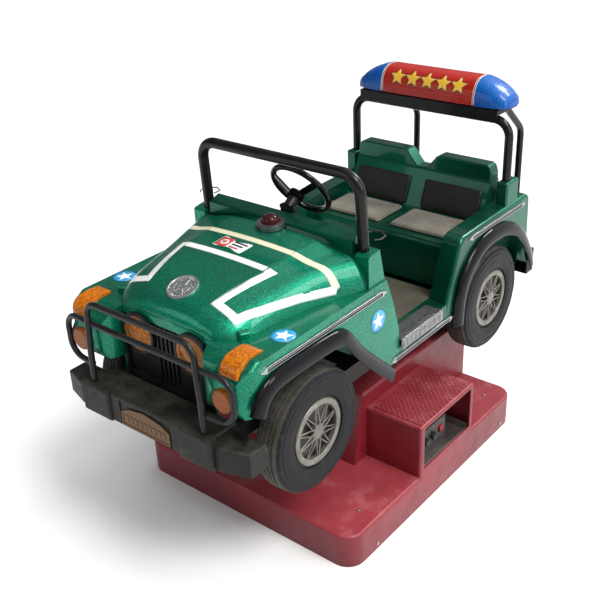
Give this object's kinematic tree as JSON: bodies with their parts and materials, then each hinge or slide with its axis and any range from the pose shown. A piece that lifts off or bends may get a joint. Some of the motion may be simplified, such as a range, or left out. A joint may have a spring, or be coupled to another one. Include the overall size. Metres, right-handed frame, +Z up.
{
  "type": "coin-operated rocking off-road car ride",
  "caption": "Kiddie ride: green open off-road car with screen frame, roll bar, light bar and steering wheel, rocking on a red base.",
  "frame": {"origin": "centre of the base's resting face, on the floor", "axes": "+Z up, the car's front faces -Y, +X is the car's left side, with the service opening"},
  "size_m": [0.958, 1.87, 1.309],
  "materials": {
    "red_fibreglass": "weathered gloss",
    "frame_paint": "satin",
    "zinc_steel": "dull zinc",
    "cast_iron": "painted casting",
    "gearbox_paint": "painted casting",
    "motor_paint": "satin",
    "galvanised_sheet": "galvanised",
    "control_paint": "satin",
    "bright_steel": "bright",
    "green_flake": "metal flake gloss",
    "amber_lens": "moulded lens",
    "black_trim": "gloss",
    "red_lens": "moulded lens",
    "beige_vinyl": "worn vinyl",
    "black_vinyl": "vinyl",
    "aluminium_tread": "ribbed",
    "chrome_trim": "chrome",
    "black_gloss": "high gloss",
    "silver_badge": "satin",
    "bumper_grey": "worn",
    "bronze_plate": "aged",
    "black_tube": "gloss",
    "red_dome": "moulded lens",
    "blue_dome": "moulded lens",
    "black_knob": "satin",
    "red_rocker": "gloss",
    "tyre_rubber": "worn rubber",
    "wheel_paint": "satin",
    "silver_wire": "silvered plastic"
  },
  "bodies": {
    "base": {"base_shell": "red_fibreglass", "base_frame": "frame_paint", "base_screws": "zinc_steel", "pivot_bearings": "cast_iron", "bearing_bolts": "zinc_steel", "gearbox_housing": "gearbox_paint", "gearbox_cover": "gearbox_paint", "motor": "motor_paint", "service_tray": "galvanised_sheet", "control_box": "control_paint"},
    "rocker": {"pivot_shaft": "bright_steel", "rocker_chassis": "frame_paint", "drive_yoke": "frame_paint", "axles": "bright_steel", "body_front": "green_flake", "turn_signal_lenses": "amber_lens", "fender_lamps": "amber_lens", "cowl": "green_flake", "beacon_base": "black_trim", "beacon_lens": "red_lens", "tub": "green_flake", "seat_moulding": "green_flake", "seat_pads": "beige_vinyl", "back_pads": "black_vinyl", "tread_plates": "aluminium_tread", "side_trims": "chrome_trim", "fender_flares": "black_gloss", "medallion": "silver_badge", "grille_panel": "black_trim", "headlamp_bezels": "black_trim", "headlamp_lenses": "amber_lens", "front_bumper": "bumper_grey", "number_plate": "bronze_plate", "bull_bar": "black_tube", "windshield_frame": "black_tube", "roll_bar": "black_tube", "rear_bumper": "bumper_grey", "light_bar_tray": "black_trim", "light_dome_red": "red_dome", "light_dome_blue": "blue_dome", "steering_column": "black_trim", "door_hooks": "bright_steel"},
    "crank": {"crank_disc": "bright_steel"},
    "roller": {"crank_roller": "bright_steel"},
    "steering": {"steering_wheel": "black_gloss"},
    "timer": {"timer_knob": "black_knob"},
    "volume": {"volume_knob": "black_knob"},
    "mains": {"mains_switch": "red_rocker"},
    "wheel_front_left_body": {"tyre_front_left": "tyre_rubber", "wheel_front_left": "wheel_paint", "hubcap_front_left": "silver_wire"},
    "wheel_front_right_body": {"tyre_front_right": "tyre_rubber", "wheel_front_right": "wheel_paint", "hubcap_front_right": "silver_wire"},
    "wheel_rear_left_body": {"tyre_rear_left": "tyre_rubber", "wheel_rear_left": "wheel_paint", "hubcap_rear_left": "silver_wire"},
    "wheel_rear_right_body": {"tyre_rear_right": "tyre_rubber", "wheel_rear_right": "wheel_paint", "hubcap_rear_right": "silver_wire"}
  },
  "joints": [
    {"name": "rock", "type": "hinge", "parent": "base", "child": "rocker", "pos_m": [0, 0, 0.43], "axis": [1, 0, 0], "range_deg": [-4.2, 4.2]},
    {"name": "crank_turn", "type": "hinge", "parent": "base", "child": "crank", "pos_m": [0, 0.3, 0.236], "axis": [1, 0, 0], "range_deg": [-60, 60]},
    {"name": "roller_spin", "type": "hinge", "parent": "crank", "child": "roller", "pos_m": [0, 0.326, 0.236], "axis": [1, 0, 0], "continuous": true},
    {"name": "steering_spin", "type": "hinge", "parent": "rocker", "child": "steering", "pos_m": [0, -0.15, 1.095], "axis": [0, 0.848, 0.5299], "continuous": true},
    {"name": "timer_turn", "type": "hinge", "parent": "base", "child": "timer", "pos_m": [0.43, -0.044, 0.206], "axis": [1, 0, 0], "range_deg": [-270, 0]},
    {"name": "volume_turn", "type": "hinge", "parent": "base", "child": "volume", "pos_m": [0.43, 0.004, 0.206], "axis": [1, 0, 0], "range_deg": [-135, 135]},
    {"name": "mains_rock", "type": "hinge", "parent": "base", "child": "mains", "pos_m": [0.428, 0.056, 0.206], "axis": [0, 1, 0], "range_deg": [-9, 9]},
    {"name": "front_left_spin", "type": "hinge", "parent": "rocker", "child": "wheel_front_left_body", "pos_m": [0.34, -0.571, 0.534], "axis": [1, 0, 0], "continuous": true},
    {"name": "front_right_spin", "type": "hinge", "parent": "rocker", "child": "wheel_front_right_body", "pos_m": [-0.34, -0.571, 0.534], "axis": [1, 0, 0], "continuous": true},
    {"name": "rear_left_spin", "type": "hinge", "parent": "rocker", "child": "wheel_rear_left_body", "pos_m": [0.34, 0.48, 0.534], "axis": [1, 0, 0], "continuous": true},
    {"name": "rear_right_spin", "type": "hinge", "parent": "rocker", "child": "wheel_rear_right_body", "pos_m": [-0.34, 0.48, 0.534], "axis": [1, 0, 0], "continuous": true}
  ],
  "couplings": [
    {"joint": "crank_turn", "follows": "rock", "ratio": 14}
  ]
}
